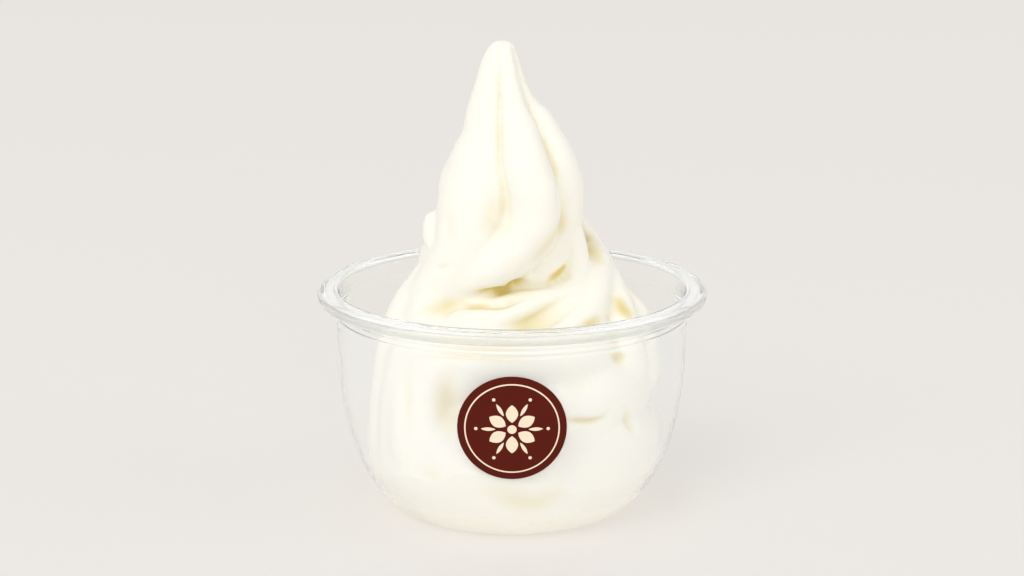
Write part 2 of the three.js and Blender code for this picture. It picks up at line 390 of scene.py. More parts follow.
def vanilla_cream(sizes):
    """Pale vanilla cream: light spreads in it, and its skin has the fine uneven sheen of frozen cream."""
    material, nodes, surface, _ = new_material("vanilla_cream")
    place = object_place(nodes)
    pale = [min(1, c * PALER) for c in sizes.cream]
    warm = [c * s for c, s in zip(sizes.cream, WARMER)]
    tones = {"First": (*warm, 1), "Second": (*pale, 1)}
    tint = nodes.group(uneven_colour, {"Place": place, **BLOTCHES, **tones})["Colour"]
    # Painted shade: the colour turns to the shade colour where the surface is shut in and along the
    # folds.
    hollow = nodes.add("ShaderNodeAttribute", attribute_name="hollow").outputs["Fac"]
    start, full = SHADE_RANGE
    deep = nodes.add(
        "ShaderNodeMapRange",
        {"Value": hollow, "From Min": start, "From Max": full},
        interpolation_type="SMOOTHSTEP",
    )
    nodes.feed(surface.inputs["Base Color"], nodes.mixed(deep, tint, (*sizes.shade, 1)))
    surface.inputs["Subsurface Weight"].default_value = SCATTERING
    surface.inputs["Subsurface Radius"].default_value = SCATTERING_BY_COLOUR
    surface.inputs["Subsurface Scale"].default_value = sizes.glow
    surface.inputs["IOR"].default_value = CREAM_IOR
    dress_surface(nodes, surface, place, CREAM_SURFACE)
    return material


def print_material(name, tone, roughness):
    """Satin sticker paper, whose colour changes a little from fibre to fibre."""
    material, nodes, surface, _ = new_material(name)
    dark = [c * (1 - FIBRE_SPREAD) for c in tone]
    light = [min(1, c * (1 + FIBRE_SPREAD)) for c in tone]
    tones = {"First": (*dark, 1), "Second": (*light, 1)}
    tint = nodes.group(uneven_colour, {"Place": object_place(nodes), **FIBRES, **tones})["Colour"]
    nodes.feed(surface.inputs["Base Color"], tint)
    surface.inputs["Roughness"].default_value = roughness
    surface.inputs["Specular IOR Level"].default_value = PRINT_SPECULAR
    return material


# ---- Cup ----

# Powers that shape the bowl's outline, and the height of the collar above it.
BULGE, RISE = 1.52, 2.91
COLLAR = 3 * MM
# The flange: its sheet, its bends, how far the skirt stands in, and the lip's curl and edge.
FLANGE = {"sheet": 0.7 * MM, "bend": 0.9 * MM, "inset": 0.65 * MM, "curl": 0.85 * MM, "edge": 0.5 * MM}
# Heights above the lip: where its curl starts inside, its outer edge, that edge's round, the groove.
LIP_LEVELS = {"inner": 1.5 * MM, "outer": 1.3 * MM, "round": 1.75 * MM, "groove": 2.4 * MM}
# Start, end and steps of the rounds at the lip, from outwards, and how far the curl stands out.
CURL_ARC = (190, 330, 8)
EDGE_ARC = (20, 90, 4)
CURL_SHIFT = 0.1 * MM
# The inside of the collar: its top below the cup's, its stacking beads, and the bowl's own top.
COLLAR_DROP = 2.2 * MM
BEAD_HEIGHTS = (51.4 * MM, 50 * MM)
BEAD_HALF = 0.7 * MM
BEAD_STEPS = 8
BOWL_TOP = 49 * MM


def bowl_point(sizes, t):
    """The outside of the bowl as radius and height: t is 0 at the foot and 1 below the collar."""
    angle = math.pi / 2 * (1 - t)
    out = max(math.cos(angle), 0) ** (2 / BULGE)
    down = max(math.sin(angle), 0) ** (2 / RISE)
    reach = sizes.mouth_radius - sizes.foot_radius
    return sizes.foot_radius + reach * out, (sizes.height - COLLAR) * (1 - down)


def bowl_outline(sizes, inwards, steps=96):
    """The bowl's outline moved inwards by a distance, from the foot up."""
    small = 1e-3
    points = []
    for i in range(steps + 1):
        t = min(max(i / steps, small), 1 - small)
        r, z = bowl_point(sizes, t)
        r0, z0 = bowl_point(sizes, t - small)
        r1, z1 = bowl_point(sizes, t + small)
        size = math.hypot(r1 - r0, z1 - z0)
        points.append((r - inwards * (z1 - z0) / size, z + inwards * (r1 - r0) / size))
    return points


def arc(r, z, radius, start, end, steps=6):
    """Points round a corner of an outline, in degrees from outwards."""
    angles = np.radians(np.linspace(start, end, steps + 1))
    return [(r + radius * math.cos(a), z + radius * math.sin(a)) for a in angles]


def cup_outline(sizes):
    """Closed half outline of the cup's plastic, out and up the outside and back down the inside."""
    wall, top = sizes.wall, sizes.height
    mouth, rim, lip = sizes.mouth_radius, sizes.rim_radius, sizes.height - sizes.rim_drop
    outside = bowl_outline(sizes, 0)
    inside = [p for p in bowl_outline(sizes, wall) if p[1] < BOWL_TOP]
    sheet, bend, curl = FLANGE["sheet"], FLANGE["bend"], FLANGE["curl"]
    skirt = rim - FLANGE["inset"]
    under = [
        *arc(mouth + bend, top - sheet - bend, bend, 180, 90, 5),
        *arc(skirt - sheet - bend, top - sheet - bend, bend, 90, 0, 5),
        (skirt - sheet, lip + LIP_LEVELS["inner"]),
        *arc(skirt - sheet / 2 + CURL_SHIFT, lip + curl, curl, *CURL_ARC),
    ]
    over = [
        (rim, lip + LIP_LEVELS["outer"]),
        *arc(rim - FLANGE["edge"], lip + LIP_LEVELS["round"], FLANGE["edge"], *EDGE_ARC),
        (skirt, lip + LIP_LEVELS["groove"]),
        *arc(skirt - bend, top - bend, bend, 0, 90, 6),
        *arc(mouth + bend * 0.5, top - bend, bend, 90, 180, 6),
    ]
    face = mouth - wall
    beads = []
    for height in BEAD_HEIGHTS:
        for k in range(BEAD_STEPS + 1):
            lift = math.sin(math.pi * k / BEAD_STEPS) ** 2
            level = height + BEAD_HALF - 2 * BEAD_HALF * k / BEAD_STEPS
            beads.append((face - sizes.bead * lift, level))
    return [(0, 0), *outside, *under, *over, (face, top - COLLAR_DROP), *beads, *inside[::-1], (0, wall)]


def spin_outline(name, outline, sides):
    """A solid of revolution from a half outline that starts and ends on the axis."""
    corners = [(r, 0, z) for r, z in outline]
    edges = [(i, i + 1) for i in range(len(outline) - 1)]
    piece = mesh_piece(name, corners, edges, [])
    bpy.ops.object.mode_set(mode="EDIT")
    bpy.ops.mesh.select_all(action="SELECT")
    bpy.ops.mesh.spin(steps=sides, angle=2 * math.pi, center=(0, 0, 0), axis=(0, 0, 1))
    bpy.ops.mesh.select_all(action="SELECT")
    bpy.ops.mesh.remove_doubles(threshold=MERGE)
    bpy.ops.mesh.normals_make_consistent(inside=False)
    bpy.ops.object.mode_set(mode="OBJECT")
    bpy.ops.object.shade_smooth()
    return piece


# ---- Soft serve ----

# Lobes round the rope, as degrees wide and height, from the one that faces the front at the tip.
LOBES = [(60, 1.05), (57, 1), (46, 1), (40, 1), (42, 1), (115, 1)]
LOBE_STEPS = 18
ROUND_STEPS = 40
# Steps along a curve between two stations, and from ring to ring of a rope and a ribbon.
CURVE_STEPS = 24
ROPE_STEP = 0.8
RIBBON_STEP = 0.5
# How near a rope's inner side may come to the middle of its bend, and the least bend that counts.
BEND_MARGIN = 0.92
STRAIGHT = 1e-6
# The smallest part of the rounding that is left at the very end of a ribbon.
BLUNT_END = 0.02

# Stations of the rope's centre line in millimetres, from the tip down: x, y, z, radius, twist.
ROPE = [
    (-2.2, 0, 118.9, 1.6, 31),
    (-2.3, 0, 117.6, 3.2, 31),
    (-2.9, 0, 113.6, 5.0, 34),
    (-3, 0, 108, 6.8, 34),
    (-2.6, 0, 102, 9.5, 28),
    (-1.2, 0, 96, 13, 21),
    (-0.5, 0, 90, 16.2, 20),
    (-0.4, 0, 84, 18.3, 25),
    (-0.8, -0.5, 77, 18.6, 29),
    (-1.6, -1.5, 71.5, 18.2, 29),
    (-4.2, -3, 67, 16, 25),
    (-8.6, -4, 63.4, 13.4, 20),
    (-13.6, -2.4, 60.4, 11, 15),
    (-15.6, 4, 59.5, 10, 5),
    (-10.5, 11.5, 59.5, 11, 5),
    (-1, 15.5, 60, 12, 15),
    (6, 13.5, 58, 11, 20),
    (11, 10, 53, 9.5, 22),
    (13, 5, 47, 9.5, 20),
    (14.5, -2.5, 43, 11.5, 14),
    (14, -9.5, 42, 13, 8),
    (8, -14, 41.5, 13.6, 5),
    (-1, -16.5, 41, 14, 5),
    (-10.5, -15.5, 39.5, 14, 10),
    (-17, -12, 35.5, 14.2, 18),
    (-19, -10, 28.5, 14.2, 25),
    (-15, -13.5, 19.5, 14.5, 28),
]
# Ribbons of the upper turn that fan out below the peak, and what hangs down at the left.
RIBBONS = [
    [
        (19.1, -1.9, 62.8, 2.2), (15.5, -5.9, 58.8, 2.2), (9.9, -10.6, 56.9, 2),
        (2, -13.8, 57, 1.8), (-5.4, -15, 56, 1.5), (-12.3, -14.8, 55.2, 1.2),
    ],
    [
        (-0.5, -11.4, 63.5, 1.6), (2.2, -11.1, 61.9, 1.4), (6, -9.6, 60.8, 1.4),
        (9, -8.1, 60.8, 1.4), (12, -6, 62.7, 1.5), (14.5, -3.2, 65.2, 1.8),
    ],
    [
        (20.4, 7.4, 66.3, 3.5), (19.2, 0.9, 60.6, 4), (15, -5.7, 56.2, 4.4),
        (8.9, -11.4, 53.8, 4.8), (0.7, -15.8, 51.4, 5.4), (-7.9, -17.6, 49.8, 5.6),
        (-17.8, -15.2, 47.9, 6),
    ],
    [
        (20.3, 5.9, 65.1, 4), (20.7, -0.3, 59.3, 4.8), (19, -6.8, 53.7, 5.4),
        (14.9, -13.2, 49.1, 6), (8.4, -19.8, 45.1, 6.4), (0.7, -23.3, 42.2, 7),
    ],
    [
        (13.5, 9.5, 74.5, 2.4), (18.4, 9.1, 69.3, 2.2), (20.9, 7.3, 65.6, 2.4),
        (23.1, 4.7, 61.2, 2.8), (25, 0.7, 55.9, 3.8), (26.2, -3.2, 50.7, 5),
        (27.1, -6.6, 41.7, 6.6), (27.7, -7.8, 31, 7.5),
    ],
    [
        (23.5, 7.9, 59.9, 2), (26, 6.1, 55.6, 2.2), (29, 3.5, 52.1, 2.6),
        (31.5, 2.5, 48.2, 3.6), (32, 0.8, 42.3, 5), (31.2, 0.7, 28.5, 7),
    ],
    [
        (14, -3, 74, 3), (15, -3.2, 70, 3.2), (15.8, -3, 66, 3.4),
        (16.2, -3, 62, 3.6), (15.5, -4.5, 58.5, 3.4),
    ],
    [
        (7, -5.2, 60.2, 2.6), (10.5, -4.2, 60.8, 2.8), (13.8, -2.8, 62.4, 3),
    ],
    [
        (-11, -10.6, 56.8, 3), (-4, -10.6, 57.8, 3), (2.5, -9.2, 59.2, 3),
    ],
    [
        (-23, -9, 50, 5), (-24.6, -12, 41, 6.4), (-25.4, -14.6, 30, 7.6),
        (-25, -16, 19, 8), (-23.6, -16.5, 9, 8),
    ],
    [
        (-18.1, -3.3, 76.8, 3.3), (-18.7, -3.5, 73.8, 3.4), (-18.9, -3.8, 70.5, 3.4),
        (-17.6, -5, 68, 3.2), (-14.8, -6, 66, 3),
    ],
    [
        (-9.1, -11.9, 62.1, 4.2), (-14.9, -10.1, 59.6, 5), (-18.9, -9.1, 55.8, 5.6),
        (-20.9, -10.4, 49.9, 5.8), (-21.6, -14, 43.7, 5.2),
    ],
    [
        (-15.1, 1.7, 66.6, 3.8), (-17.6, 0.5, 62.7, 4.6), (-21.1, -1.8, 57.1, 5.4),
        (-25.2, -3.2, 50.7, 6), (-27.7, -4, 43.1, 6.2), (-28.8, -5.7, 34.1, 6.6),
        (-29.3, -7.3, 24.8, 7), (-29.3, -9.3, 15.7, 7), (-29, -11, 9, 7),
    ],
    [
        (-17.9, -13.2, 48.6, 7), (-19.3, -15.3, 40.2, 9), (-19.8, -18.4, 30.8, 10.5),
        (-19.3, -20.5, 21.1, 11), (-16.4, -21.5, 11, 10),
    ],
]
# The last turn of the rope, flat round the bottom of the cup, in degrees and millimetres.
BASE_TURN = {"radius": 22, "z": 16.5, "from": -100, "to": 205, "stations": 9, "rope": 16, "twist": 25}
# Round ropes that fill the left flank and the middle of the cup: x, y, z, radius.
FLANK = [
    (-5.2, -0.4, 104, 4.0), (-5.4, -1.0, 98, 6.0), (-5.8, -2.0, 94, 7.4), (-6.6, -3.0, 90, 8.6),
    (-7.5, -4.2, 84, 9.8), (-8.2, -5.2, 78, 10.5), (-8.8, -6.4, 72, 10.3), (-10.0, -7, 67, 9.8),
    (-13.4, -6.8, 61, 9.2), (-17.6, -6, 55, 8.4), (-20.5, -6, 48, 8),
]
MIDDLE_TURN = [
    (-8, -14, 29, 10), (2, -18, 29, 12.5), (13, -16, 30, 13), (21.5, -5, 31, 13), (21, 9, 33, 13),
    (9, 19, 34, 13), (-7, 19, 34, 13), (-18, 9, 32, 12.5), (-21, -4, 29, 11),
]
# Places where the cream has run smooth: centre, reach along x, y and z, smoothing passes.
MELTED = [
    ((-12, -12, 84), (10.5, 12, 26), 40),
    ((-12, -14, 68), (10, 10, 13), 60),
    ((-20, -12, 52), (13, 12, 15), 80),
    ((-20, -22, 32), (16, 18, 20), 80),
    ((-29, -10, 32), (14, 18, 28), 140),
    ((14, -28, 37), (22, 14, 9), 80),
    ((0, 0, 13), (62, 62, 9), 50),
]
# How steeply the smoothing sets in from its reach inwards, and its strength in each pass.
MELT_CORE = 1.6
SMOOTHING = 0.5
# Below the first height the cream touches the wall, and above the second it clears it by a hair.
TOUCH_HEIGHTS = (5 * MM, 9 * MM)
CLEARANCE = 0.12 * MM
# Where the rim of the cream that is pressed against the wall is rounded, as in MELTED.
SETTLED = ((0, 0, 15), (70, 70, 10), 12)
# The ring of settled cream: the middle of its rope, the rope's radius, and the stations round it.
PRESSED = {"radius": 29, "height": 8.5, "rope": 9.5, "stations": 25}
# How much further in, higher and thicker it is at the front, and how quickly that fades sideways.
PRESSED_FRONT = {"radius": 7, "height": 9.5, "rope": 8, "fade": 1.5}
# Waves round it in its height and its thickness: size, waves a turn, start in radians.
PRESSED_WAVE = (1.2, 2, 0.6)
PRESSED_RIPPLE = (0.8, 5, 0)
PRESSED_SWELL = (0.9, 3, 1.2)
# The form that cuts the cream to the cup: steps round it, its spread over the rim, its top.
CAVITY_SIDES = 160
CAVITY_SPREAD = 1.6
CAVITY_TOP = 0.2
# The test of how shut in a place is, which sets the painted shade there: rays from each corner, their
# start, and the evening out.
HOLLOW_RAYS = 10
RAY_LIFT = 0.08
HOLLOW_PASSES = 6
OWN_SHARE = 0.4
# A groove's points, how many widths away it still counts, and how it thins out to its ends.
GROOVE_STEP = 0.4
GROOVE_REACH = 3
GROOVE_ENDS = (0.02, 0.98)
GROOVE_TAPER = 0.5
# The creases' lines are seen from the front along this slope, as they show above each other.
VIEW_SLOPE = math.radians(13.9)
# Fine creases and folds with painted shade: points as x and height at the axis, then width, depth and how
# strong the painted shade in them gets.
CREASES = [
    ([(-2.9, 112), (-2.9, 98.5), (-2.8, 89.2), (-1.4, 79.5)], 0.6, 0.6, 0),
    ([(1.4, 111.1), (4.4, 101.2), (8.1, 91.4), (10.6, 84.8), (11.2, 75.7)], 0.6, 0.7, 0),
    ([(3.7, 61.1), (8.1, 65.7), (11.3, 70.2), (13.1, 76)], 2.8, 0.6, 0.34),
    ([(-16, 74.6), (-15.7, 70.8), (-16.2, 67)], 2.2, 0.7, 0.16),
    ([(-1, 82), (-1.8, 74.6), (-4.2, 69.6), (-8.4, 64.5)], 1.2, 0.5, 0),
    ([(-4.6, 80), (-5.6, 73.4), (-8, 68.3)], 3.2, 0.5, 0.24),
    ([(-19.2, 61.2), (-17.2, 61.2), (-15.2, 61.7)], 0.7, 0.7, 0.15),
    ([(-8.8, 54.8), (-5.4, 55.3), (-2.2, 56.2), (0.7, 57.8), (3, 58)], 1.2, 1.1, 0.58),
    ([(9, 58.2), (11.4, 59.6), (13.8, 62.2)], 1, 0.5, 0.64),
    ([(-12.3, 51.5), (-6.6, 51.3), (-2.2, 51.6), (1.5, 53.1)], 0.8, 1.5, 0.3),
    ([(-2.9, 44), (2, 45.8), (8.1, 49.6), (14.9, 54.8)], 3.2, 3, 0.26),
    ([(18.3, 70.8), (20.2, 68.1), (21.6, 64.6), (22, 61.3)], 2.8, 0.5, 0.34),
    ([(25.8, 54.5), (28, 50.8), (31, 48.2)], 2.4, 0.5, 0.6),
    ([(15.8, 44.6), (18.7, 46.4), (22.4, 48.4)], 2, 0.5, 0.55),
    ([(-23.8, 38.9), (-15.1, 40.1), (-2.9, 39.2), (6.8, 38.6)], 2.4, 0.4, 0.41),
    ([(-24, 49.4), (-18, 51), (-13, 52.2)], 2.6, 0.3, 0.3),
    ([(-2, 53.6), (2, 54.2), (6, 55.4)], 1.5, 0.3, 0.14),
    ([(23.8, 39.6), (26.1, 38.4), (28.2, 39.2)], 1.4, 0.6, 0.42),
    ([(11.7, 30), (16.6, 31.9), (21.6, 33.8)], 2.8, 1.3, 0.15),
    ([(-26.2, 39.8), (-26.2, 32.9), (-26, 25.4), (-25.4, 15.8)], 3, 1.2, 0.22),
    ([(-13.8, 37.6), (-15.8, 31.8), (-15.8, 24.2), (-15.1, 16.7)], 3.6, 1.5, 0.31),
    ([(12.9, 23), (19.1, 22.6), (22.6, 23.5), (23.6, 24.7)], 0.9, 1.5, 0.38),
    ([(27.7, 24.5), (29.3, 21.8), (29.7, 19.3)], 1.8, 1.3, 0.2),
    ([(-23.6, 12.6), (-20, 9.8), (-16.6, 6)], 3.4, 0.9, 0.26),
]
# The fold where the settled cream leaves the wall under the label, in the same form, with painted shade
# in it.
WALL_FOLDS = [
    ([(-8, 6.4), (-2, 4), (4, 2), (9, 3.6), (14, 7.6)], 4.6, 0.8, 0.36),
]
# Half outline of the core that fills what the ropes leave open: radius and height in millimetres.
HEART = [
    (0, 0.5), (27, 0.5), (36, 3.5), (38, 7.5), (35, 14), (32, 22), (27, 32), (22, 42), (14, 52),
    (6, 58), (0, 60),
]
HEART_SIDES = 64


def through(stations, step):
    """Even steps along a Catmull-Rom curve through the stations, mirrored past both ends."""
    rows = np.array(stations, float)
    rows = np.vstack([2 * rows[0] - rows[1], rows, 2 * rows[-1] - rows[-2]])
    fine = []
    for a, b, c, d in zip(rows, rows[1:], rows[2:], rows[3:]):
        for t in np.arange(CURVE_STEPS) / CURVE_STEPS:
            cubic = 2 * a - 5 * b + 4 * c - d + t * (3 * (b - c) + d - a)
            fine.append(b + 0.5 * t * (c - a + t * cubic))
    fine.append(rows[-2])
    fine = np.array(fine)
    along = np.r_[0, np.cumsum(np.linalg.norm(np.diff(fine[:, :3], axis=0), axis=1))]
    wanted = np.linspace(0, along[-1], max(2, round(along[-1] / step)) + 1)
    return np.stack([np.interp(wanted, along, column) for column in fine.T], axis=1)


def star_section(crease, roundness):
    """The rope's section as angles and shares of the radius."""
    total = sum(width for width, _ in LOBES)
    angles, shares = [], []
    start = -LOBES[0][0] / 2
    for width, height in LOBES:
        across = np.arange(LOBE_STEPS) / LOBE_STEPS
        bulge = 1 - np.abs(2 * across - 1) ** roundness
        angles.extend(2 * math.pi * (start + across * width) / total)
        shares.extend(1 - crease + (height - 1 + crease) * bulge)
        start += width
    return np.array(angles), np.array(shares)


def round_section():
    return np.arange(ROUND_STEPS) / ROUND_STEPS * 2 * math.pi, np.ones(ROUND_STEPS)


def swept(stations, section, first_side, step=ROPE_STEP, rounded=False):
    """Corners and faces of a closed rope. Tight bends press it flat on their inner side."""
    rows = through(stations, step)
    points = rows[:, :3]
    ahead = np.gradient(points, axis=0)
    ahead /= np.linalg.norm(ahead, axis=1)[:, None]
    bend = np.gradient(ahead, axis=0) / step
    angles, shares = section
    twist = rows[:, 4] if rows.shape[1] > 4 else np.zeros(len(rows))
    side = np.array(first_side, float)
    size = rounded_ends(rows[:, 3], step) if rounded else rows[:, 3]
    rings = []
    for point, forward, curl, radius, turn in zip(points, ahead, bend, size, twist):
        side -= side.dot(forward) * forward
        side /= np.linalg.norm(side)
        other = np.cross(side, forward)
        around = angles + math.radians(turn)
        out = np.cos(around)[:, None] * side + np.sin(around)[:, None] * other
        inwards = np.maximum(out @ curl, STRAIGHT)
        reach = np.minimum(shares * radius, BEND_MARGIN / inwards)
        rings.append(point + out * reach[:, None])
    return closed_loft(np.array(rings))


def rounded_ends(radii, step):
    """Radii that close both ends of a rope like a ball."""
    along = np.arange(len(radii)) * step
    ends = np.minimum(along / radii[0], along[::-1] / radii[-1])
    return radii * np.sqrt(1 - (1 - np.clip(ends, BLUNT_END, 1)) ** 2)


def closed_loft(rings):
    """Corners and faces of a skin over rings, shut by a fan at both ends."""
    count, sides = rings.shape[:2]
    corners = [*rings.reshape(-1, 3), rings[0].mean(axis=0), rings[-1].mean(axis=0)]
    faces = []
    for i in range(count - 1):
        for j in range(sides):
            a, b = i * sides + j, i * sides + (j + 1) % sides
            faces.append((a, b, b + sides, a + sides))
    end = (count - 1) * sides
    for j in range(sides):
        k = (j + 1) % sides
        faces.append((count * sides, k, j))
        faces.append((count * sides + 1, end + j, end + k))
    return np.array(corners), faces


def base_turn():
    """Stations of the flat turn at the bottom."""
    turn = BASE_TURN
    for angle in np.radians(np.linspace(turn["from"], turn["to"], turn["stations"])):
        x, y = turn["radius"] * math.cos(angle), turn["radius"] * math.sin(angle)
        yield (x, y, turn["z"], turn["rope"], turn["twist"])


def fit_to_cup(piece, cup, overlap):
    """Cuts the cream to the cup's inside: low down just into the wall, and higher up clear of it."""
    touching = bowl_outline(cup, cup.wall - overlap)
    clear = bowl_outline(cup, cup.wall + CLEARANCE)
    low, high = TOUCH_HEIGHTS
    outline = [(0, cup.wall - overlap)]
    for (r0, z0), (r1, z1) in zip(touching, clear):
        part = min(max((z0 - low) / (high - low), 0), 1)
        outline.append((r0 + (r1 - r0) * part, z0 + (z1 - z0) * part))
    wide = cup.rim_radius * CAVITY_SPREAD
    outline += [(wide, cup.height + MM), (wide, CAVITY_TOP), (0, CAVITY_TOP)]
    cavity = spin_outline("cavity", outline, CAVITY_SIDES)
    apply_modifier(piece, "BOOLEAN", operation="INTERSECT", object=cavity, solver="MANIFOLD")
    bpy.data.objects.remove(cavity)


def melt(piece, centre, reach, passes):
    """Smooths the surface round a point, most at the point and not at all at its reach."""
    away = np.linalg.norm((corners_of(piece) / MM - centre) / reach, axis=1)
    group = piece.vertex_groups.new(name="melted")
    weights = np.clip(MELT_CORE * (1 - away), 0, 1)
    for index in np.flatnonzero(weights):
        group.add([int(index)], float(weights[index]), "REPLACE")
    apply_modifier(piece, "SMOOTH", factor=SMOOTHING, iterations=passes, vertex_group="melted")
    piece.vertex_groups.clear()


def neighbours_mean(piece, values, passes):
    """Values at the corners, evened out along the edges."""
    edges = np.empty(len(piece.data.edges) * 2, np.int32)
    piece.data.edges.foreach_get("vertices", edges)
    starts, ends = edges.reshape(-1, 2).T
    count = np.bincount(edges, minlength=len(values))
    for _ in range(passes):
        before = np.bincount(starts, values[ends], len(values))
        after = np.bincount(ends, values[starts], len(values))
        values = OWN_SHARE * values + (1 - OWN_SHARE) * (before + after) / count
    return values


def hemisphere(count):
    """Even directions over a hemisphere about Z, denser towards its top."""
    turn = math.pi * (3 - math.sqrt(5))
    for k in range(count):
        flat = math.sqrt((k + 0.5) / count)
        yield (flat * math.cos(turn * k), flat * math.sin(turn * k), math.sqrt(1 - flat * flat))


def mark_hollows(piece, reach, crease_shade):
    """Writes the painted shade at each corner from how shut in it is: 0 in the open, 1 deep between two
    folds, with the creases' painted shade added.
    """
    tree = BVHTree.FromObject(piece, bpy.context.evaluated_depsgraph_get())
    rays = list(hemisphere(HOLLOW_RAYS))
    shut = np.zeros(len(piece.data.vertices))
    for vertex in piece.data.vertices:
        normal = vertex.normal
        across = normal.orthogonal().normalized()
        other = normal.cross(across)
        start = vertex.co + normal * RAY_LIFT * MM
        for x, y, z in rays:
            distance = tree.ray_cast(start, across * x + other * y + normal * z, reach)[3]
            if distance is not None:
                shut[vertex.index] += 1 - distance / reach
    shut = neighbours_mean(piece, shut / HOLLOW_RAYS, HOLLOW_PASSES)
    mark = piece.data.attributes.new("hollow", "FLOAT", "POINT")
    mark.data.foreach_set("value", (shut + crease_shade).astype(np.float32))


def deepen_hollows(piece, crease_shade):
    """Gives each corner the stronger of its painted shade and the painted shade of a fold."""
    mark = piece.data.attributes["hollow"].data
    depth = np.empty(len(mark), np.float32)
    mark.foreach_get("value", depth)
    mark.foreach_set("value", np.maximum(depth, crease_shade).astype(np.float32))


def ring_wave(wave, angle):
    size, count, start = wave
    return size * math.sin(count * angle + start)


def pressed_mass():
    """What settled at the bottom: a closed ring pressed against the wall, higher at the front."""
    for angle in 2 * math.pi * np.linspace(0, 1, PRESSED["stations"]):
        front = max(0, -math.sin(angle)) ** PRESSED_FRONT["fade"]
        wave = ring_wave(PRESSED_WAVE, angle) - ring_wave(PRESSED_RIPPLE, angle)
        height = PRESSED["height"] + PRESSED_FRONT["height"] * front + wave * (1 - front)
        radius = PRESSED["radius"] - PRESSED_FRONT["radius"] * front
        rope = PRESSED["rope"] + PRESSED_FRONT["rope"] * front + ring_wave(PRESSED_SWELL, angle)
        yield (radius * math.cos(angle), radius * math.sin(angle), height, rope)


def carve(piece, line, width, depth):
    """Presses a groove into the front along a line, and returns its share at each corner."""
    tree = BVHTree.FromObject(piece, bpy.context.evaluated_depsgraph_get())
    look = Vector((0, math.cos(VIEW_SLOPE), -math.sin(VIEW_SLOPE)))
    spots = []
    for x, z in through(line, GROOVE_STEP):
        place = tree.ray_cast(Vector((x * MM, 0, z * MM)) - look, look)[0]
        if place:
            spots.append(place)
    spots = np.array(spots) / MM
    points = corners_of(piece)
    normals = np.empty(points.size, np.float32)
    piece.data.vertex_normals.foreach_get("vector", normals)
    reach = GROOVE_REACH * width
    low, high = spots.min(axis=0) - reach, spots.max(axis=0) + reach
    near = np.flatnonzero(((points / MM > low) & (points / MM < high)).all(axis=1))
    away = np.linalg.norm(points[near, None] / MM - spots[None], axis=2)
    along = away.argmin(axis=1) / max(1, len(spots) - 1)
    taper = np.sin(math.pi * np.clip(along, *GROOVE_ENDS)) ** GROOVE_TAPER
    pressed = np.zeros(len(points))
    pressed[near] = taper * np.exp(-((away.min(axis=1) / width) ** 2))
    points -= normals.reshape(-1, 3) * (depth * MM * pressed)[:, None]
    set_corners(piece, points)
    return pressed


def carve_all(piece, folds):
    """Presses all the grooves of a list, and returns the painted shade that they give each corner."""
    crease_shade = np.zeros(len(piece.data.vertices))
    for line, width, depth, tone in folds:
        crease_shade = np.maximum(crease_shade, tone * carve(piece, line, width, depth))
    return crease_shade


def make_cream(sizes, cup):
    """The ropes and the core melted into one skin, with its creases, cut to the cup."""
    star = star_section(sizes.crease, sizes.roundness)
    front, up = (0, -1, 0), (0, 0, 1)
    ropes = [
        swept([*ROPE, *base_turn()], star, front),
        swept(FLANK, round_section(), front),
        swept(MIDDLE_TURN, round_section(), up),
        swept(list(pressed_mass()), round_section(), up),
        *(swept(ribbon, round_section(), up, RIBBON_STEP, True) for ribbon in RIBBONS),
    ]
    parts = []
    for corners, faces in ropes:
        part = mesh_piece("rope", corners * MM, [], faces)
        bpy.ops.object.mode_set(mode="EDIT")
        bpy.ops.mesh.select_all(action="SELECT")
        bpy.ops.mesh.normals_make_consistent(inside=False)
        bpy.ops.object.mode_set(mode="OBJECT")
        parts.append(part)
    parts.append(spin_outline("heart", [(r * MM, z * MM) for r, z in HEART], HEART_SIDES))
    piece = join_pieces("vanilla_swirl", parts)
    apply_modifier(piece, "REMESH", mode="VOXEL", voxel_size=sizes.detail, adaptivity=0)
    apply_modifier(piece, "SMOOTH", factor=SMOOTHING, iterations=2)
    for spot in MELTED:
        melt(piece, *spot)
    mark_hollows(piece, sizes.hollow_reach, carve_all(piece, CREASES))
    fit_to_cup(piece, cup, sizes.overlap)
    melt(piece, *SETTLED)
    deepen_hollows(piece, carve_all(piece, WALL_FOLDS))
    return piece


# ---- Label ----

# The printed motif in millimetres. A petal and a leaf start and end at two distances from the
# middle and have a width, a berry has a distance and a radius, and the border has two edges that
# stand in from the sticker's.
MOTIF_DOT = 1.1
PETALS = 6
PETAL = (1.7, 6.2, 2.9)
LEAF = (3.9, 7.4, 0.9)
BERRY = (8.6, 0.42)
BORDER = (2.1, 1.75)
PRINT_THICKNESS = 0.05 * MM
PRINT_SUNK = 0.02 * MM
PETAL_FULLNESS = 0.8
PETAL_STEPS = 10
LABEL_SIDES = 96
LABEL_RINGS = 10
WALL_STEPS = 48


def on_front(cup, label, across, up, outwards):
    """A point on the bowl's front: across runs along the wall to the right, up runs up it."""
    height = label.height + up
    radii, levels = zip(*bowl_outline(cup, 0, WALL_STEPS))
    radius = float(np.interp(height, levels, radii))
    angle = across / radius - math.pi / 2
    return ((radius + outwards) * math.cos(angle), (radius + outwards) * math.sin(angle), height)


def circle(radius, sides, centre=(0.0, 0.0)):
    angles = np.arange(sides) / sides * 2 * math.pi
    return [(centre[0] + radius * math.cos(a), centre[1] + radius * math.sin(a), 0.0) for a in angles]


def flat_disc(name, radius, rings, sides, centre=(0.0, 0.0)):
    """A flat disc in rings, to be laid on the wall."""
    corners = [(*centre, 0.0)]
    for ring in range(1, rings + 1):
        corners += circle(radius * ring / rings, sides, centre)
    faces = [(0, 1 + j, 1 + (j + 1) % sides) for j in range(sides)]
    for ring in range(rings - 1):
        for j in range(sides):
            a, b = 1 + ring * sides + j, 1 + ring * sides + (j + 1) % sides
            faces.append((a, a + sides, b + sides, b))
    return mesh_piece(name, corners, [], faces)


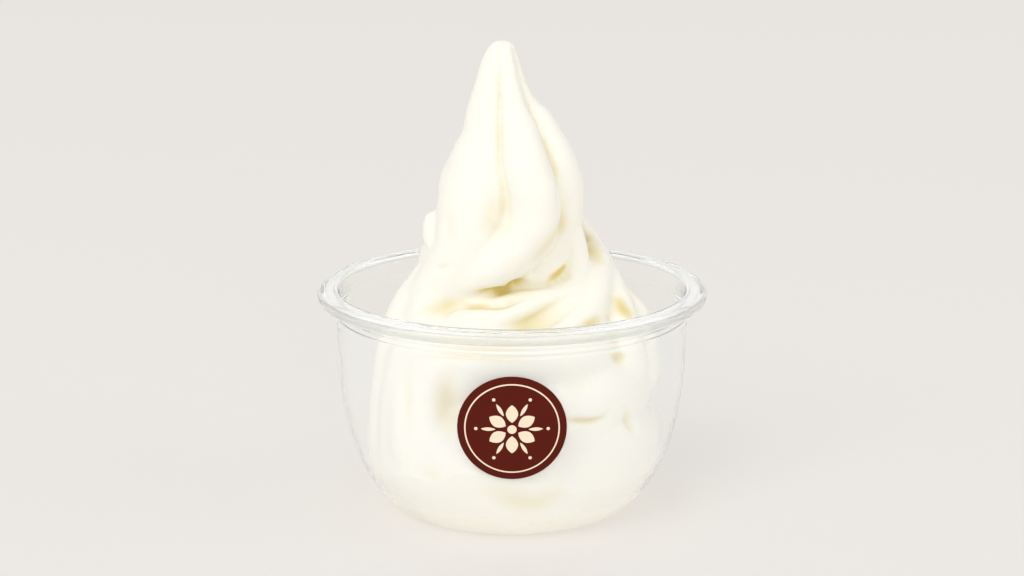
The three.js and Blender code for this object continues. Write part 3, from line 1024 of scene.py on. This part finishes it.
def flat_ring(name, inner, outer, sides):
    """A flat ring, to be laid on the wall."""
    corners = circle(inner, sides) + circle(outer, sides)
    ends = [(j + 1) % sides for j in range(sides)]
    faces = [(j, sides + j, sides + k, k) for j, k in enumerate(ends)]
    return mesh_piece(name, corners, [], faces)


def flat_petal(name, size, bearing):
    """A flat pointed oval along a bearing, from its start, end and width in millimetres."""
    start, end, width = (value * MM for value in size)
    along = np.linspace(0, 1, PETAL_STEPS + 1)
    half = width / 2 * np.sin(math.pi * along) ** PETAL_FULLNESS
    turn = math.radians(bearing)
    corners = []
    for x, w in zip(start + (end - start) * along, half):
        for y in (-w, 0.0, w):
            corners.append(
                (x * math.cos(turn) - y * math.sin(turn), x * math.sin(turn) + y * math.cos(turn), 0.0)
            )
    faces = []
    for i in range(PETAL_STEPS):
        for a in (3 * i, 3 * i + 1):
            faces.append((a, a + 3, a + 4, a + 1))
    return mesh_piece(name, corners, [], faces)


def lay_on_wall(piece, cup, label, outwards, thickness):
    """Wraps a flat piece round the bowl's front and gives it thickness."""
    make_active(piece)
    bpy.ops.object.mode_set(mode="EDIT")
    bpy.ops.mesh.select_all(action="SELECT")
    bpy.ops.mesh.remove_doubles(threshold=MERGE)
    bpy.ops.object.mode_set(mode="OBJECT")
    flat = corners_of(piece)
    set_corners(piece, [on_front(cup, label, x, y, outwards + thickness) for x, y, _ in flat])
    apply_modifier(piece, "SOLIDIFY", thickness=thickness, offset=-1, use_even_offset=True)
    make_active(piece)
    bpy.ops.object.shade_smooth_by_angle(angle=FLAT_EDGE)
    return piece


def rosette(label):
    """The printed motif: a rosette of petals in a ring of leaves, dots and a thin border."""
    parts = [flat_disc("middle_dot", MOTIF_DOT * MM, 2, 24)]
    between = 180 / PETALS
    for k in range(PETALS):
        bearing = 90 + 2 * between * k
        parts.append(flat_petal("petal", PETAL, bearing))
        parts.append(flat_petal("leaf", LEAF, bearing + between))
        distance, radius = (value * MM for value in BERRY)
        middle = math.radians(bearing + between)
        place = (distance * math.cos(middle), distance * math.sin(middle))
        parts.append(flat_disc("berry", radius, 1, 12, place))
    inner, outer = (label.radius - value * MM for value in BORDER)
    parts.append(flat_ring("border", inner, outer, LABEL_SIDES))
    return parts


# ---- Operators ----

# Place and width of each soft light, and what all of them point at.
LAMPS = {
    "key": ((-2.2, -2.6, 3.2), 2.6),
    "front": ((0.6, -3.6, 1.0), 2.0),
    "side": ((3.2, -0.8, 1.4), 2.0),
}
LAMP_AIM = Vector((0, 0, 0.06))
FLOOR_WIDTH = 40
FLOOR_ROUGHNESS = 0.9
# How much more light the wide bright table throws back onto the cup than the floor shows.
BOUNCE = 1.12
# The camera looks down along VIEW_SLOPE at a point on the cup's axis.
CAMERA_AIM = Vector((0, 0, 0.0561))
CAMERA_DISTANCE = 0.62
CAMERA_LENS = 86.3
CAMERA_SENSOR = 36


class SOFTSERVE_OT_stage(bpy.types.Operator):
    """Adds the pale floor, the soft lights and the camera"""

    bl_idname = "soft_serve.stage"
    bl_label = "Stage"

    def execute(self, context):
        sizes = context.scene.soft_serve_stage
        add_floor(sizes)
        add_world(sizes)
        for name, (place, size) in LAMPS.items():
            add_light(name, place, size, getattr(sizes, name))
        add_camera()
        return {"FINISHED"}


def add_floor(sizes):
    deselect_all()
    bpy.ops.mesh.primitive_plane_add(size=FLOOR_WIDTH, location=(0, 0, 0))
    floor = bpy.context.object
    floor.name = "floor"
    material, nodes, surface, _ = new_material("pale_floor")
    matte = [c * (1 - sizes.floor_glow) for c in sizes.floor]
    surface.inputs["Base Color"].default_value = (*matte, 1)
    surface.inputs["Emission Color"].default_value = (*sizes.floor, 1)
    path = nodes.add("ShaderNodeLightPath")
    glows = {"A": sizes.floor_glow, "B": sizes.floor_glow * BOUNCE}
    glow = nodes.add("ShaderNodeMix", {"Factor": path.outputs["Is Diffuse Ray"], **glows})
    nodes.feed(surface.inputs["Emission Strength"], glow)
    surface.inputs["Roughness"].default_value = FLOOR_ROUGHNESS
    surface.inputs["Specular IOR Level"].default_value = 0.0
    floor.data.materials.append(material)


def add_world(sizes):
    world = bpy.data.worlds.new("soft_sky")
    world.use_nodes = True
    nodes = Nodes(world.node_tree)
    background = world.node_tree.nodes["Background"]
    background.inputs["Color"].default_value = (1, 1, 1, 1)
    path = nodes.add("ShaderNodeLightPath")
    glows = {"A": sizes.ambient, "B": sizes.mirrored}
    glow = nodes.add("ShaderNodeMix", {"Factor": path.outputs["Is Glossy Ray"], **glows})
    nodes.feed(background.inputs["Strength"], glow)
    bpy.context.scene.world = world
    bpy.context.scene.view_settings.view_transform = "Standard"


def add_light(name, place, size, energy):
    light = bpy.data.lights.new(name, "AREA")
    light.size = size
    light.energy = energy
    lamp = bpy.data.objects.new(name, light)
    bpy.context.scene.collection.objects.link(lamp)
    place_facing(lamp, Vector(place), LAMP_AIM - Vector(place))


def add_camera():
    back = Vector((0, -math.cos(VIEW_SLOPE), math.sin(VIEW_SLOPE)))
    camera = bpy.data.cameras.new("camera")
    camera.lens = CAMERA_LENS
    camera.sensor_width = CAMERA_SENSOR
    camera.clip_start = 0.02
    camera.clip_end = 100
    holder = bpy.data.objects.new("camera", camera)
    bpy.context.scene.collection.objects.link(holder)
    place_facing(holder, CAMERA_AIM + back * CAMERA_DISTANCE, -back)
    bpy.context.scene.camera = holder


def place_facing(holder, place, ahead):
    """Puts a lamp or the camera at a place, to look along a direction."""
    holder.location = place
    holder.rotation_mode = "QUATERNION"
    holder.rotation_quaternion = ahead.to_track_quat("-Z", "Y")


class SOFTSERVE_OT_cup(bpy.types.Operator):
    """Builds the clear cup"""

    bl_idname = "soft_serve.cup"
    bl_label = "Cup"

    def execute(self, context):
        sizes = context.scene.soft_serve_cup
        piece = spin_outline("clear_cup", cup_outline(sizes), sizes.sides)
        finish_piece(piece, clear_plastic(sizes), "clear_plastic", "cup")
        return {"FINISHED"}


class SOFTSERVE_OT_cream(bpy.types.Operator):
    """Builds the swirl of soft serve"""

    bl_idname = "soft_serve.cream"
    bl_label = "Soft serve"

    def execute(self, context):
        sizes = context.scene.soft_serve_swirl
        piece = make_cream(sizes, context.scene.soft_serve_cup)
        make_active(piece)
        bpy.ops.object.shade_smooth()
        finish_piece(piece, vanilla_cream(sizes), "cream", "soft_serve")
        return {"FINISHED"}


class SOFTSERVE_OT_label(bpy.types.Operator):
    """Builds the round sticker and its printed motif"""

    bl_idname = "soft_serve.label"
    bl_label = "Label"

    def execute(self, context):
        sizes, cup = context.scene.soft_serve_label, context.scene.soft_serve_cup
        disc = flat_disc("label_face", sizes.radius, LABEL_RINGS, LABEL_SIDES)
        face = lay_on_wall(disc, cup, sizes, sizes.gap, sizes.thickness)
        field = print_material("label_field", sizes.field, FIELD_ROUGHNESS)
        finish_piece(face, field, "label_paper", "label")
        lift = sizes.gap + sizes.thickness - PRINT_SUNK
        parts = [lay_on_wall(part, cup, sizes, lift, PRINT_THICKNESS) for part in rosette(sizes)]
        motif = join_pieces("label_print", parts)
        pale = print_material("label_print", sizes.print_colour, PRINT_ROUGHNESS)
        finish_piece(motif, pale, "label_paper")
        return {"FINISHED"}


class SOFTSERVE_PT_panel(bpy.types.Panel):
    """Lists the steps that build the cup of soft serve"""

    bl_idname = "SOFTSERVE_PT_panel"
    bl_label = "Soft Serve Cup"
    bl_space_type = "VIEW_3D"
    bl_region_type = "UI"
    bl_category = "Soft Serve"

    def draw(self, context):
        for step in STEPS:
            self.layout.operator(step.bl_idname)
        for name, group in GROUPS.items():
            box = self.layout.box()
            for key in group.__annotations__:
                box.prop(getattr(context.scene, name), key)


STEPS = [SOFTSERVE_OT_stage, SOFTSERVE_OT_cup, SOFTSERVE_OT_cream, SOFTSERVE_OT_label]
GROUPS = {
    "soft_serve_cup": CupSizes,
    "soft_serve_swirl": SwirlSizes,
    "soft_serve_label": LabelSizes,
    "soft_serve_stage": StageSizes,
}


def register():
    for kind in [*GROUPS.values(), *STEPS, SOFTSERVE_PT_panel]:
        bpy.utils.register_class(kind)
    for name, group in GROUPS.items():
        setattr(bpy.types.Scene, name, PointerProperty(type=group))


def unregister():
    for name in GROUPS:
        delattr(bpy.types.Scene, name)
    for kind in reversed([*GROUPS.values(), *STEPS, SOFTSERVE_PT_panel]):
        bpy.utils.unregister_class(kind)


def main():
    register()
    bpy.ops.soft_serve.stage()
    bpy.ops.soft_serve.cup()
    bpy.ops.soft_serve.cream()
    bpy.ops.soft_serve.label()


if __name__ == "__main__":
    main()
